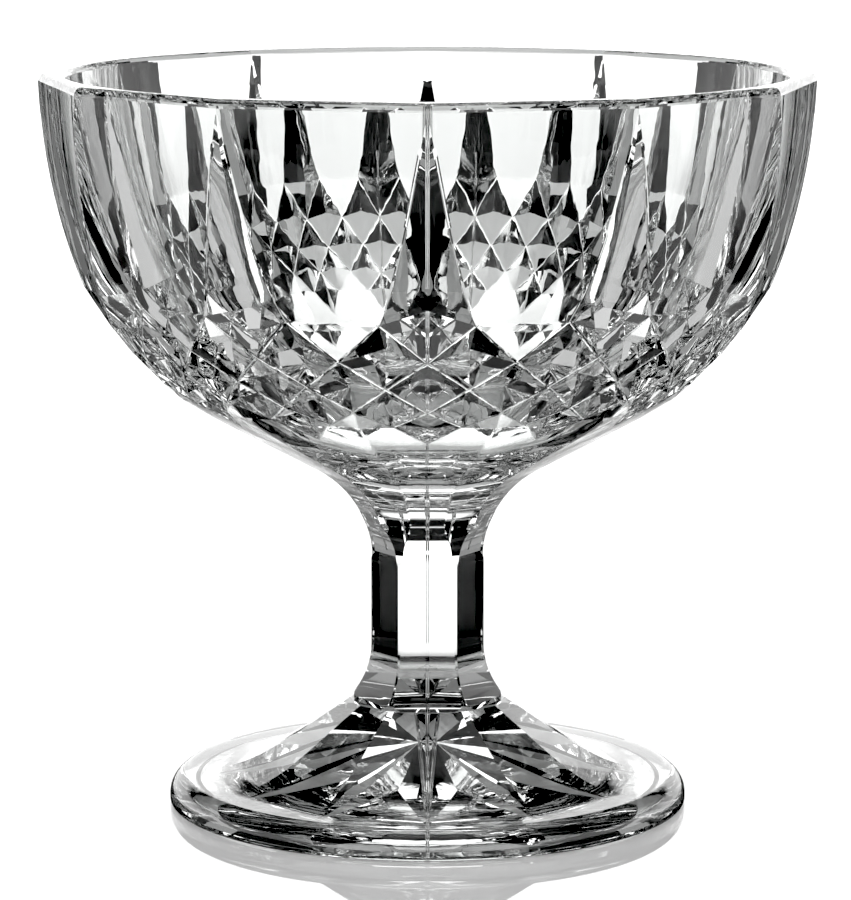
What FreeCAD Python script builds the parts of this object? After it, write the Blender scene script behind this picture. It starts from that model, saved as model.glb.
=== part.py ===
import FreeCAD, Part
import Sketcher
import math
import os

from FreeCAD import Placement, Rotation, Vector

# Footed dessert glass, pressed in one piece from clear glass.
# The foot stands on the plane z = 0 and the axis of the glass is Z. Lengths are in millimetres.
# The glass repeats in sectors round its axis. The middle of a spear lies on a whole number of
# sectors from +X, and the middle of the flat panel beside it lies half a sector further on.

SIZES = [
    ("sector_count", 12, "spears, panels, neck flats and foot rays round the glass"),
    ("stem_sides", 6, "sides of the stem"),
    ("panel_top_radius", 53.5, "axis to the middle of a panel, at the lip"),
    ("panel_bulge", 1.3, "rise of a panel's curve over its own chord"),
    ("outer_lip_bevel", 0.5, "bevel of the outer edge of the lip"),
    ("inner_lip_round", 1.0, "rounding of the inner edge of the lip"),
    ("spear_drop", 2.0, "lip to the apex of a spear"),
    ("spear_length", 27.8, "apex of a spear to the corners of its base, upright"),
    ("spear_start_width", 0.3, "width of a spear's notch at its apex"),
    ("spear_start_depth", 0.1, "depth of a spear's notch at its apex"),
    ("spear_foot_depth", 3.75, "depth of a spear's notch at its base, towards the axis"),
    ("spear_foot_rise", 1.4, "deepest point of a spear over the corners of its base"),
    ("belt_top_inset", 4.3, "panel's radius at the lip to the first row of ridge crossings"),
    ("belt_foot_inset", 10.4, "first row of crossings to the fourth, towards the axis"),
    ("belt_bulge", 0.75, "rise of the belt's curve over its own chord"),
    ("belt_step_one", 5.6, "first row of crossings to the second, upright"),
    ("belt_step_two", 4.1, "second row to the third"),
    ("belt_step_three", 3.7, "third row to the fourth"),
    ("belt_step_four", 2.5, "fourth row to the fifth"),
    ("belt_step_five", 2.9, "fifth row to the last"),
    ("pit_depth_share", 0.2, "depth of a diamond pit as a share of its height"),
    ("shoulder_inset", 2.9, "fourth row of crossings to an edge of the neck at the fifth row"),
    ("neck_inset", 4.7, "that edge of the neck, from the fifth row to the last, towards the axis"),
    ("neck_height", 21.7, "start of the neck's curve to the last row of crossings, upright"),
    ("neck_curve", 15.5, "radius of the curve from the stem into the neck"),
    ("stem_radius", 8.25, "axis to an edge of the stem"),
    ("stem_height", 20.6, "crease under the collar to the start of the neck's curve"),
    ("side_top_curve", 10.0, "radius of the curve at the top of a side of the stem"),
    ("side_low_curve", 13.0, "radius of the curve at the foot of a side of the stem"),
    ("collar_radius", 11.25, "axis to the crease under the collar"),
    ("collar_height", 14.8, "foot to that crease"),
    ("collar_slope", 45.0, "slope of the collar at the crease, degrees from upright"),
    ("collar_reach", 10.2, "crease to where the stem's edges run upright"),
    ("side_reach", 8.2, "crease to where a side of the stem runs upright"),
    ("foot_slope", 33.7, "slope of the foot's panels under the crease, degrees"),
    ("foot_edge_slope", 5.0, "slope of the foot's panels at their outer ends, degrees"),
    ("foot_panel_radius", 32.0, "axis to the outer corners of the foot's panels"),
    ("foot_radius", 37.5, "axis to the outside of the foot"),
    ("foot_thickness", 4.1, "thickness of the foot's rim"),
    ("foot_round", 2.9, "upper rounding of the foot's rim"),
    ("foot_under_bevel", 0.5, "bevel of the lower edge of the foot's rim"),
    ("lip_wall", 2.3, "thickness of the wall at the lip, in the middle of a panel"),
    ("floor_rise", 2.5, "start of the neck's slope to the lowest point inside the bowl, upright"),
    ("recess_radius", 33.5, "radius of the recess under the foot"),
    ("recess_depth", 0.5, "depth of that recess"),
    ("star_radius", 31.0, "axis to the point of a ray of the star under the foot"),
    ("star_inner_radius", 14.0, "axis to the corner between two rays"),
    ("star_depth", 2.6, "depth of the star at the axis, over the recess"),
]

doc = FreeCAD.newDocument("footed_dessert_glass")
sheet = doc.addObject("Spreadsheet::Sheet", "sizes")
for row, (alias, value, note) in enumerate(SIZES, start=1):
    sheet.set("A%d" % row, note)
    sheet.set("B%d" % row, str(value))
    sheet.setAlias("B%d" % row, alias)
doc.recompute()


def size(alias):
    """A driving size, read from the sheet."""
    return float(sheet.get(alias))


def cosd(angle):
    return math.cos(math.radians(angle))


def sind(angle):
    return math.sin(math.radians(angle))


COUNT = int(size("sector_count"))
SECTOR = 360.0 / COUNT
HALF = SECTOR / 2
QUARTER = SECTOR / 4


def at(radius, angle, height):
    """The point at this radius and height, turned by this angle from +X."""
    return Vector(radius * cosd(angle), radius * sind(angle), height)


def arc_radius_at(start, end, bulge, height):
    """Radius at this height on the arc from start to end, each (radius, height), that rises
    over its chord by this bulge, away from the axis."""
    chord = math.hypot(end[0] - start[0], end[1] - start[1])
    radius = (chord * chord / 4 + bulge * bulge) / (2 * bulge)
    outward = ((start[1] - end[1]) / chord, (end[0] - start[0]) / chord)
    centre_radius = (start[0] + end[0]) / 2 - outward[0] * (radius - bulge)
    centre_height = (start[1] + end[1]) / 2 - outward[1] * (radius - bulge)
    return centre_radius + math.sqrt(radius ** 2 - (height - centre_height) ** 2)


# Heights are stacked up from the foot. The rows are the six rows of ridge crossings, from the
# bases of the spears down.
STEM_TOP = size("collar_height") + size("stem_height")
ROWS = [STEM_TOP + size("neck_height")]
for step in ("five", "four", "three", "two", "one"):
    ROWS.insert(0, ROWS[0] + size("belt_step_" + step))
SPEAR_APEX = ROWS[0] + size("spear_length")
LIP = SPEAR_APEX + size("spear_drop")
ABOVE = LIP + 2 * size("inner_lip_round")

BELT_TOP_RADIUS = size("panel_top_radius") - size("belt_top_inset")
BELT_FOOT_RADIUS = BELT_TOP_RADIUS - size("belt_foot_inset")
SHOULDER_RADIUS = BELT_FOOT_RADIUS - size("shoulder_inset")
NECK_TOP_RADIUS = SHOULDER_RADIUS - size("neck_inset")

# The neck, along the edges between its flats: a curve out of the stem, then a straight slope
# that touches the curve and runs up to the belt.
run = NECK_TOP_RADIUS - size("stem_radius") - size("neck_curve")
rise = size("neck_height")
far = math.hypot(run, rise)
NECK_SLOPE = math.degrees(math.atan2(run, rise) + math.asin(size("neck_curve") / far))
NECK_CURVE_END = (
    size("stem_radius") + size("neck_curve") * (1 - cosd(NECK_SLOPE)),
    STEM_TOP + size("neck_curve") * sind(NECK_SLOPE),
)
JOINT = NECK_CURVE_END[1]
ABOVE_JOINT = JOINT + 1


def panel_radius(height):
    """Axis to the middle of a panel at this height. The panel is flat across."""
    top = (size("panel_top_radius"), LIP)
    low = (BELT_TOP_RADIUS * cosd(QUARTER), ROWS[0])
    return arc_radius_at(top, low, size("panel_bulge"), height)


def belt_radius(height):
    """Axis to the ridge crossings at this height of the belt's round part."""
    top = (BELT_TOP_RADIUS, ROWS[0])
    low = (BELT_FOOT_RADIUS, ROWS[3])
    return arc_radius_at(top, low, size("belt_bulge"), height)


def neck_edge(height):
    """Axis to an edge between two neck flats, from the stem up to the end of the curve."""
    rise = height - STEM_TOP
    return size("stem_radius") + size("neck_curve") - math.sqrt(size("neck_curve") ** 2 - rise ** 2)


def crossing(row, angle):
    """A crossing of two ridges of the belt. The last two rows lie on the neck's flats."""
    if row <= 3:
        return at(belt_radius(ROWS[row]), angle, ROWS[row])
    edge_radius = SHOULDER_RADIUS if row == 4 else NECK_TOP_RADIUS
    from_flat = (angle + HALF) % SECTOR - HALF
    return at(edge_radius * cosd(HALF) / cosd(from_flat), angle, ROWS[row])


def pit(row, angle):
    """The deepest point of the diamond pit whose side corners lie in this row."""
    above = crossing(row - 1, angle)
    below = crossing(row + 1, angle)
    left = crossing(row, angle - QUARTER)
    right = crossing(row, angle + QUARTER)
    middle = (above + below + left + right) * 0.25
    inward = (right - left).cross(above - below)
    if inward.dot(at(1, angle, 0)) > 0:
        inward = inward * -1
    return middle + inward.normalize() * (size("pit_depth_share") * (above - below).Length)


def spline(points):
    """A smooth curve through points, each (radius, height)."""
    curve = Part.BSplineCurve()
    curve.interpolate([Vector(x, y, 0) for x, y in points])
    return curve


def bezier(points):
    """A curve with these end points and handles, each (radius, height)."""
    curve = Part.BezierCurve()
    curve.setPoles([Vector(x, y, 0) for x, y in points])
    return curve.toBSpline()


def line(start, end):
    return Part.LineSegment(Vector(start[0], start[1], 0), Vector(end[0], end[1], 0))


def rounding(start, end, centre):
    """A quarter circle from start to end about a centre."""
    radius = math.hypot(start[0] - centre[0], start[1] - centre[1])
    spread = (start[0] + end[0] - 2 * centre[0], start[1] + end[1] - 2 * centre[1])
    length = math.hypot(*spread)
    middle = [centre[i] + spread[i] * radius / length for i in (0, 1)]
    return Part.Arc(
        Vector(start[0], start[1], 0), Vector(middle[0], middle[1], 0), Vector(end[0], end[1], 0)
    )


body = doc.addObject("PartDesign::Body", "blank")
origin_planes = {item.Role: item for item in body.Origin.OriginFeatures}


def profile(name, angle, curves):
    """A closed sketch on the upright plane through the axis, turned by this angle. Its curves
    come from the sheet's sizes and are fixed in place."""
    sketch = body.newObject("Sketcher::SketchObject", name)
    sketch.AttachmentSupport = (origin_planes["XZ_Plane"], [""])
    sketch.MapMode = "FlatFace"
    sketch.AttachmentOffset = Placement(Vector(), Rotation(Vector(0, 1, 0), angle))
    sketch.addGeometry(curves, False)
    for index in range(len(curves)):
        sketch.addConstraint(Sketcher.Constraint("Block", index))
    return sketch


def turned(kind, name, sketch):
    """A full turn of a sketch about the axis: Revolution adds it, Groove takes it away."""
    feature = body.newObject("PartDesign::" + kind, name)
    feature.Profile = sketch
    feature.ReferenceAxis = (sketch, ["V_Axis"])
    feature.Angle = 360.0
    doc.recompute()
    return feature


def flats(name, sketch, width, count):
    """Cuts a flat face across the glass and repeats it round the axis. The width is an
    expression on the sheet and so is the number of flats."""
    before = body.Shape.Volume
    pocket = body.newObject("PartDesign::Pocket", name)
    pocket.Profile = sketch
    pocket.Midplane = True
    pocket.setExpression("Length", width)
    doc.recompute()
    if pocket.Shape.Volume > before - 1:
        raise RuntimeError(name + " takes nothing away")
    pattern = body.newObject("PartDesign::PolarPattern", name + "_round")
    pattern.Originals = [pocket]
    pattern.Axis = (sketch, ["V_Axis"])
    pattern.Angle = 360
    pattern.setExpression("Occurrences", "sizes." + count)
    body.Tip = pattern
    doc.recompute()
    if pattern.Shape.Volume > pocket.Shape.Volume - 1:
        raise RuntimeError(name + " is not repeated")
    return pattern


# The foot, stem and neck, up to where the neck runs straight. The blank is turned about the
# axis. It reaches a little further out than the edges between the flats, which are cut from it.
foot = size("foot_radius")
thick = size("foot_thickness")
under = size("foot_under_bevel")
over = size("foot_round")
stem = size("stem_radius")
flat_share = cosd(HALF)
crease = (size("collar_radius"), size("collar_height"))
foot_corner = (size("foot_panel_radius"), thick)
spare = 0.15 * stem
collar_foot = (0.99 * flat_share * crease[0], crease[1])
collar_top = (stem + spare, crease[1] + size("collar_reach"))
collar_handle = 0.28 * size("collar_reach")
collar_curve = [
    collar_foot,
    (collar_foot[0] - collar_handle * sind(size("collar_slope")),
     collar_foot[1] + collar_handle * cosd(size("collar_slope"))),
    (collar_top[0], collar_top[1] - 0.45 * size("collar_reach")),
    collar_top,
]
neck_cover = NECK_CURVE_END[0] + spare
blank_curves = [
    line((0, 0), (foot - under, 0)),
    line((foot - under, 0), (foot, under)),
    line((foot, under), (foot, thick - over)),
    rounding((foot, thick - over), (foot - over, thick), (foot - over, thick - over)),
    line((foot - over, thick), (crease[0] + spare, crease[1])),
    line((crease[0] + spare, crease[1]), collar_foot),
    bezier(collar_curve),
    line(collar_top, (collar_top[0], STEM_TOP)),
    line((collar_top[0], STEM_TOP), (neck_cover, JOINT)),
    line((neck_cover, JOINT), (0, JOINT)),
    line((0, JOINT), (0, 0)),
]
blank_outline = profile("blank_outline", 0.4 * HALF, blank_curves)
turned("Revolution", "blank_turned", blank_outline)

# Neck flats, each under a spear, down to where the stem's own sides take over.
neck_least = (stem + 0.1 * spare, STEM_TOP)
neck_start = STEM_TOP + math.sqrt(
    size("neck_curve") ** 2 - (stem + size("neck_curve") - neck_least[0] / flat_share) ** 2
)
flat_heights = [neck_start + (JOINT - neck_start) * part / 5 for part in range(6)]
neck_flat_end = (NECK_CURVE_END[0] * flat_share, JOINT)
neck_curves = [
    line(neck_least, (neck_least[0], neck_start)),
    spline([(neck_edge(height) * flat_share, height) for height in flat_heights]),
    line(neck_flat_end, (neck_flat_end[0] + spare, ABOVE_JOINT)),
    line((neck_flat_end[0] + spare, ABOVE_JOINT), (foot, ABOVE_JOINT)),
    line((foot, ABOVE_JOINT), (foot, neck_least[1])),
    line((foot, neck_least[1]), neck_least),
]
neck_outline = profile("neck_outline", 0, neck_curves)
flats("neck_flats", neck_outline, "2 * sizes.stem_radius", "sector_count")

# Sides of the stem. They curve out at the top into the neck and at the foot into the collar.
side = stem * cosd(180.0 / size("stem_sides"))
top_curve = size("side_top_curve")
low_curve = size("side_low_curve")
side_low = size("collar_height") + size("side_reach")
top_end = (side + top_curve * (1 - cosd(60)), STEM_TOP + top_curve * sind(60))
low_turn = math.degrees(math.asin(size("side_reach") / low_curve))
low_end = (side + low_curve * (1 - cosd(low_turn)), size("collar_height"))
stem_clear = 2 * size("collar_radius")
side_curves = [
    line((side, side_low), (side, STEM_TOP)),
    Part.Arc(Vector(side, STEM_TOP, 0),
             Vector(side + top_curve * (1 - cosd(30)), STEM_TOP + top_curve * sind(30), 0),
             Vector(top_end[0], top_end[1], 0)),
    line(top_end, (stem_clear, top_end[1])),
    line((stem_clear, top_end[1]), (stem_clear, low_end[1])),
    line((stem_clear, low_end[1]), low_end),
    Part.Arc(Vector(low_end[0], low_end[1], 0),
             Vector(side + low_curve * (1 - cosd(low_turn / 2)),
                    side_low - low_curve * sind(low_turn / 2), 0),
             Vector(side, side_low, 0)),
]
side_outline = profile("side_outline", SECTOR, side_curves)
flats("stem_sides_cut", side_outline, "2 * sizes.collar_radius", "stem_sides")

# Panels on top of the foot, each under a panel of the bowl.
foot_run = foot_corner[0] - crease[0]
foot_curve = [
    foot_corner,
    (foot_corner[0] - 0.35 * foot_run * cosd(size("foot_edge_slope")),
     thick + 0.35 * foot_run * sind(size("foot_edge_slope"))),
    (crease[0] + 0.59 * foot_run * cosd(size("foot_slope")),
     crease[1] - 0.59 * foot_run * sind(size("foot_slope"))),
    crease,
]
foot_flat = [(radius * flat_share, height) for radius, height in foot_curve]
foot_curves = [
    bezier(foot_flat),
    line(foot_flat[3], (foot, crease[1])),
    line((foot, crease[1]), (foot, thick)),
    line((foot, thick), foot_flat[0]),
]
foot_outline = profile("foot_outline", HALF, foot_curves)
flats("foot_panels", foot_outline, "0.65 * sizes.foot_radius", "sector_count")

# The shallow recess inside the ring that the glass stands on.
recess = size("recess_radius")
recess_low = size("recess_depth")
recess_curves = [
    line((0, -recess_low), (recess, -recess_low)),
    line((recess, -recess_low), (recess, 0)),
    line((recess, 0), (recess - recess_low, recess_low)),
    line((recess - recess_low, recess_low), (0, recess_low)),
    line((0, recess_low), (0, -recess_low)),
]
recess_outline = profile("recess_outline", 0.4 * HALF, recess_curves)
turned("Groove", "recess", recess_outline)

# The round inside of the bowl, as a body of its own that is taken from the bowl.
inner_round = size("inner_lip_round")
hollow = size("panel_top_radius") - size("lip_wall")
floor = JOINT + size("floor_rise")
depth = LIP - inner_round - floor
hollow_curves = [
    bezier([(0, floor), (SHOULDER_RADIUS, floor), (0.94 * hollow, floor + 0.64 * depth),
            (hollow, LIP - inner_round)]),
    rounding((hollow, LIP - inner_round), (hollow + inner_round, LIP),
             (hollow + inner_round, LIP - inner_round)),
    line((hollow + inner_round, LIP), (hollow + inner_round, ABOVE)),
    line((hollow + inner_round, ABOVE), (0, ABOVE)),
    line((0, ABOVE), (0, floor)),
]
foot_body = body
body = doc.addObject("PartDesign::Body", "hollow_form")
origin_planes = {item.Role: item for item in body.Origin.OriginFeatures}
hollow_outline = profile("hollow_outline", 0.4 * HALF, hollow_curves)
turned("Revolution", "hollow_turned", hollow_outline)


def spear_valley(share):
    """A point of the valley of the spear on +X and one on the edge beside it, at this share of
    the spear's length from its apex."""
    corner = crossing(0, QUARTER)
    start_half = size("spear_start_width") / 2
    half_width = start_half + (corner.y - start_half) * (0.83 * share + 0.17 * share ** 6)
    height = SPEAR_APEX - share * size("spear_length")
    if share == 1:
        low = Vector(corner.x - size("spear_foot_depth"), 0, height + size("spear_foot_rise"))
        return low, corner
    edge_angle = math.degrees(math.asin(half_width / panel_radius(height)))
    for _ in range(6):
        edge_radius = panel_radius(height) / cosd(HALF - edge_angle)
        edge_angle = math.degrees(math.asin(half_width / edge_radius))
    edge = at(edge_radius, edge_angle, height)
    start_depth = size("spear_start_depth")
    slant = (size("spear_foot_depth") - start_depth) / (corner.y - start_half)
    low_x = edge.x - start_depth - slant * (half_width - start_half)
    return Vector(low_x, 0, height), edge


def curve_through(points):
    """A smooth edge through points in space."""
    curve = Part.BSplineCurve()
    curve.interpolate(points)
    return curve.toShape()


def mirrored(point):
    """The point on the other side of the plane through the axis and +X."""
    return Vector(point.x, -point.y, point.z)


def flat_face(points):
    """A flat face with these corners."""
    return Part.Face(Part.makePolygon(list(points) + [points[0]]))


def bowl_sector():
    """Faces of the outside of the bowl between the middles of two spears, from the joint in
    the neck to the lip."""
    faces = []
    diamonds = [(row, angle) for row in (1, 3) for angle in (QUARTER, 3 * QUARTER)]
    diamonds += [(2, 0), (2, HALF), (4, 0)]
    for row, angle in diamonds:
        corners = [
            crossing(row - 1, angle),
            crossing(row, angle + QUARTER),
            crossing(row + 1, angle),
            crossing(row, angle - QUARTER),
        ]
        for index, corner in enumerate(corners):
            faces.append(flat_face([pit(row, angle), corner, corners[(index + 1) % 4]]))

    # A spear's notch on +X: its two walls, its bottom and its small upper end.
    shares = [0.0, 0.17, 0.34, 0.5, 0.66, 0.8, 0.92, 1.0]
    pairs = [spear_valley(share) for share in shares]
    valley = curve_through([low for low, edge in pairs])
    right = curve_through([edge for low, edge in pairs])
    left = curve_through([mirrored(edge) for low, edge in pairs])
    faces.append(Part.makeRuledSurface(valley, right))
    faces.append(Part.makeRuledSurface(valley, left))
    valley_foot, right_foot = pairs[-1]
    faces.append(flat_face([valley_foot, right_foot, crossing(1, 0)]))
    faces.append(flat_face([valley_foot, mirrored(right_foot), crossing(1, 0)]))
    valley_top, right_top = pairs[0]
    apex = at(panel_radius(SPEAR_APEX) / cosd(HALF), 0, SPEAR_APEX)
    faces.append(flat_face([apex, right_top, valley_top, mirrored(right_top)]))

    # The panel beside it, flat across: its point, the long part and the strip under the lip.
    turn = Rotation(Vector(0, 0, 1), SECTOR)
    next_left = [turn.multVec(mirrored(edge)) for low, edge in pairs]
    faces.append(Part.makeRuledSurface(right, curve_through(next_left)))
    faces.append(flat_face([right_foot, next_left[-1], crossing(1, HALF)]))
    bevel = size("outer_lip_bevel")
    rim_share = 1 / cosd(HALF)
    strip_top = LIP - bevel
    strip_radius = panel_radius(strip_top) * rim_share
    rim_radius = (panel_radius(strip_top) - bevel) * rim_share
    faces.append(flat_face([
        apex, right_top, next_left[0], turn.multVec(apex),
        at(strip_radius, SECTOR, strip_top), at(strip_radius, 0, strip_top),
    ]))
    faces.append(flat_face([
        at(strip_radius, 0, strip_top), at(strip_radius, SECTOR, strip_top),
        at(rim_radius, SECTOR, LIP), at(rim_radius, 0, LIP),
    ]))

    # The neck flat under the spear, and the tips of two flats beside the belt.
    for side in (-1, 1):
        shoulder_edge = at(SHOULDER_RADIUS, side * HALF, ROWS[4])
        tip = crossing(4, side * QUARTER)
        faces.append(flat_face([tip, crossing(3, side * HALF), shoulder_edge]))
        faces.append(flat_face([
            at(NECK_TOP_RADIUS, side * HALF, ROWS[5]), crossing(5, 0), tip, shoulder_edge,
        ]))
    faces.append(flat_face([
        at(NECK_TOP_RADIUS, -HALF, ROWS[5]), crossing(5, 0), at(NECK_TOP_RADIUS, HALF, ROWS[5]),
        at(NECK_CURVE_END[0], HALF, JOINT), at(NECK_CURVE_END[0], -HALF, JOINT),
    ]))
    return faces


def closed_solid(faces):
    """A solid inside these faces."""
    shell = Part.Shell(faces)
    shell.sewShape()
    solid = Part.Solid(shell)
    if solid.Volume < 0:
        solid.reverse()
    return solid


def repeated(faces):
    """The faces, repeated in every sector."""
    axis = Vector(0, 0, 1)
    return [face.rotated(Vector(), axis, SECTOR * index) for index in range(COUNT) for face in faces]


def ring_points(radius, start, height):
    """Points at the middles or edges of the sectors, all round."""
    return [at(radius, start + SECTOR * index, height) for index in range(COUNT)]


def star_sector():
    """Faces of one sector of the star pressed into the underside: a low pyramid on a pointed
    outline, that starts below the foot."""
    base = size("recess_depth")
    top = Vector(0, 0, base + size("star_depth"))
    outline = [
        at(size("star_inner_radius"), -HALF, base),
        at(size("star_radius"), 0, base),
        at(size("star_inner_radius"), HALF, base),
    ]
    down = Vector(0, 0, -2 * base)
    faces = []
    for first, second in zip(outline, outline[1:]):
        faces.append(flat_face([top, first, second]))
        faces.append(flat_face([first, second, second + down, first + down]))
    return faces


def star_outline(height):
    """The corners of the star's outline, all round."""
    points = []
    for index in range(COUNT):
        points.append(at(size("star_radius"), SECTOR * index, height))
        points.append(at(size("star_inner_radius"), SECTOR * index + HALF, height))
    return points


def piece(name, shape):
    """A document object with this shape."""
    item = doc.addObject("Part::Feature", name)
    item.Shape = shape
    if shape.isNull() or not shape.isValid():
        raise RuntimeError(name + " is not a valid shape")
    return item


def combine(kind, name, base, other):
    """Cuts the other piece from the base, or joins the two."""
    result = doc.addObject("Part::" + kind, name)
    result.Base = base
    result.Tool = other
    doc.recompute()
    grown = result.Shape.Volume - base.Shape.Volume
    sound = grown < -1 if kind == "Cut" else grown > 1
    if result.Shape.isNull() or not result.Shape.isValid() or not sound:
        raise RuntimeError(name + " failed")
    return result


def without_joint(shape):
    """The faces of a shape, apart from the one that lies in the joint."""
    kept = [face for face in shape.Faces
            if face.BoundBox.ZMin < JOINT - 0.01 or face.BoundBox.ZMax > JOINT + 0.01]
    if len(kept) != len(shape.Faces) - 1:
        raise RuntimeError("the joint is not one face")
    return kept


rim_flat = panel_radius(LIP - size("outer_lip_bevel")) - size("outer_lip_bevel")
bowl_faces = repeated(bowl_sector())
bowl_faces.append(flat_face(ring_points(rim_flat / cosd(HALF), 0, LIP)))
bowl_faces.append(flat_face(ring_points(NECK_CURVE_END[0], HALF, JOINT)))
bowl = piece("bowl_outside", closed_solid(bowl_faces))
star_base = flat_face(star_outline(-size("recess_depth")))
star = piece("star_form", closed_solid(repeated(star_sector()) + [star_base]))
hollow_bowl = combine("Cut", "bowl", bowl, body)
starred_foot = combine("Cut", "foot_with_star", foot_body, star)
glass = piece("dessert_glass", closed_solid(
    without_joint(starred_foot.Shape) + without_joint(hollow_bowl.Shape)
))
glass.Label = "dessert_glass"
doc.recompute()

for item in doc.Objects:
    if "Invalid" in item.State or "Error" in item.State:
        raise RuntimeError(item.Name + " is not sound")
shape = glass.Shape
if len(shape.Solids) != 1:
    raise RuntimeError("the glass is not one solid")
os.makedirs("parts", exist_ok=True)
shape.exportStep("parts/dessert_glass.step")
print("%s: %d faces, %.0f cubic millimetres" % (glass.Label, len(shape.Faces), shape.Volume))
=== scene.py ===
"""Footed dessert glass of clear pressed glass, with its floor, light and camera.

The glass is one closed mesh whose pattern repeats in twelve sectors round the Z axis. Its sizes
are in millimetres and become metres at the end of PressedGlass.build. The stage is in metres.
"""

import logging
import math
from dataclasses import dataclass, field
from enum import Enum
from typing import Iterable, Sequence

import bmesh
import bpy
from mathutils import Matrix, Vector

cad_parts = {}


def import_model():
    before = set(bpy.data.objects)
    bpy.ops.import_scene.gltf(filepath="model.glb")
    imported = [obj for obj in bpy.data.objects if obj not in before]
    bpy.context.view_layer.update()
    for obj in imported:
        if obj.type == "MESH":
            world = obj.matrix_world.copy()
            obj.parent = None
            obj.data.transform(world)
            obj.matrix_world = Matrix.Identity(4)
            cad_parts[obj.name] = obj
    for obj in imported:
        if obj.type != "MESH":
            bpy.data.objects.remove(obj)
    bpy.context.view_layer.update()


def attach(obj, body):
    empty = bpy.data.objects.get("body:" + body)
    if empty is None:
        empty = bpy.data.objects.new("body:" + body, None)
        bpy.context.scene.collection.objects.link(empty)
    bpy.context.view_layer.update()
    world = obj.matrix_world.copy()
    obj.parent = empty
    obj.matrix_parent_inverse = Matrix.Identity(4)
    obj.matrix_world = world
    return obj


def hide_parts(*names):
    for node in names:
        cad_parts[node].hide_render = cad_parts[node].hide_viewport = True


LOG = logging.getLogger("dessert_glass")
MM = 0.001
SECTOR_WELD = 1e-4
WELD = 1e-3
QUARTERS = (0.0, 90.0, 180.0, 270.0)
DIAGONALS = (45.0, 135.0, 225.0, 315.0)
BETWEEN_VIEWS = tuple(22.5 + 45.0 * index for index in range(8))


def cosd(angle: float) -> float:
    """Cosine of an angle in degrees."""
    return math.cos(math.radians(angle))


def sind(angle: float) -> float:
    """Sine of an angle in degrees."""
    return math.sin(math.radians(angle))


def at(radius: float, angle: float, height: float) -> Vector:
    """The point at a radius and height, turned by an angle in degrees from +X."""
    return Vector((radius * cosd(angle), radius * sind(angle), height))


def arc_radius_at(
    top: tuple[float, float], low: tuple[float, float], bulge: float, height: float
) -> float:
    """Radius at a height on an arc that bulges away from the axis.

    Args:
        top: Radius and height of the arc's upper end.
        low: Radius and height of its lower end.
        bulge: Rise of the arc over its own chord.
        height: Where the radius is wanted.

    Returns:
        The radius there.
    """
    chord = math.hypot(low[0] - top[0], low[1] - top[1])
    radius = (chord * chord / 4 + bulge * bulge) / (2 * bulge)
    outward = ((top[1] - low[1]) / chord, (low[0] - top[0]) / chord)
    centre_radius = (top[0] + low[0]) / 2 - outward[0] * (radius - bulge)
    centre_height = (top[1] + low[1]) / 2 - outward[1] * (radius - bulge)
    return centre_radius + math.sqrt(radius**2 - (height - centre_height) ** 2)


def arc_points(
    centre: tuple[float, float], radius: float, start: float, end: float, steps: int
) -> list[tuple[float, float]]:
    """Points on an arc of a profile.

    Args:
        centre: Radius and height of its centre.
        radius: Radius of the arc itself.
        start: First angle in degrees, from straight out.
        end: Last angle.
        steps: Number of equal parts.

    Returns:
        Pairs of radius and height.
    """
    angles = [start + (end - start) * step / steps for step in range(steps + 1)]
    return [
        (centre[0] + radius * cosd(angle), centre[1] + radius * sind(angle)) for angle in angles
    ]


def bezier_point(handles: Sequence[tuple[float, float]], share: float) -> tuple[float, float]:
    """A point of a cubic curve given by its end points and handles.

    Args:
        handles: Four pairs of radius and height.
        share: How far along the curve, from 0 to 1.

    Returns:
        The radius and height there.
    """
    rest = 1 - share
    weights = (rest**3, 3 * rest**2 * share, 3 * rest * share**2, share**3)
    return (
        sum(weight * handle[0] for weight, handle in zip(weights, handles)),
        sum(weight * handle[1] for weight, handle in zip(weights, handles)),
    )


class Edge(Enum):
    """The kinds of edge that the mould rounds."""

    RIDGE = "ridge"
    LIP = "lip"


@dataclass(frozen=True)
class Soften:
    """A rounding for one kind of edge: its width in millimetres and its number of steps."""

    width: float
    segments: int


@dataclass(frozen=True)
class BowlSizes:
    """Sizes of the bowl's outside and inside, in millimetres.

    A spear widens evenly for spear_even of its spread and flares for the rest. Its notch has
    only spear_tip_depth of its depth at the tip, gains spear_depth_gain of it per length, and
    its valley turns up past spear_kink. The handles of the inside's curve are shares of its
    radius and depth.
    """

    lip: float = 105.7
    panel_top: float = 53.5
    panel_bulge: float = 1.3
    panel_rows: int = 28
    spear_drop: float = 2.0
    spear_length: float = 27.8
    spear_start_half: float = 0.15
    spear_start_depth: float = 0.1
    spear_foot_depth: float = 4.4
    spear_foot_rise: float = 1.4
    spear_even: float = 0.83
    spear_flare_power: int = 6
    spear_tip_depth: float = 0.25
    spear_depth_gain: float = 2.2
    spear_kink: float = 0.8
    belt_top: float = 49.2
    belt_foot: float = 38.8
    belt_bulge: float = 0.75
    belt_steps: tuple[float, ...] = (5.6, 4.1, 3.7, 2.5, 2.9)
    pit_share: float = 0.2
    shoulder: float = 35.9
    inner_radius: float = 51.2
    inner_floor: float = 51.5
    inner_upper_handle: tuple[float, float] = (0.94, 0.64)
    inner_floor_handle: float = 0.7
    inner_rows: int = 56
    inner_lip_round: float = 1.0
    inner_lip_steps: int = 7

    @property
    def spear_apex(self) -> float:
        """Height of the upper tips of the spears."""
        return self.lip - self.spear_drop

    @property
    def rows(self) -> list[float]:
        """Heights of the six rows of ridge crossings, from the top down."""
        heights = [self.spear_apex - self.spear_length]
        for step in self.belt_steps:
            heights.append(heights[-1] - step)
        return heights


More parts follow.
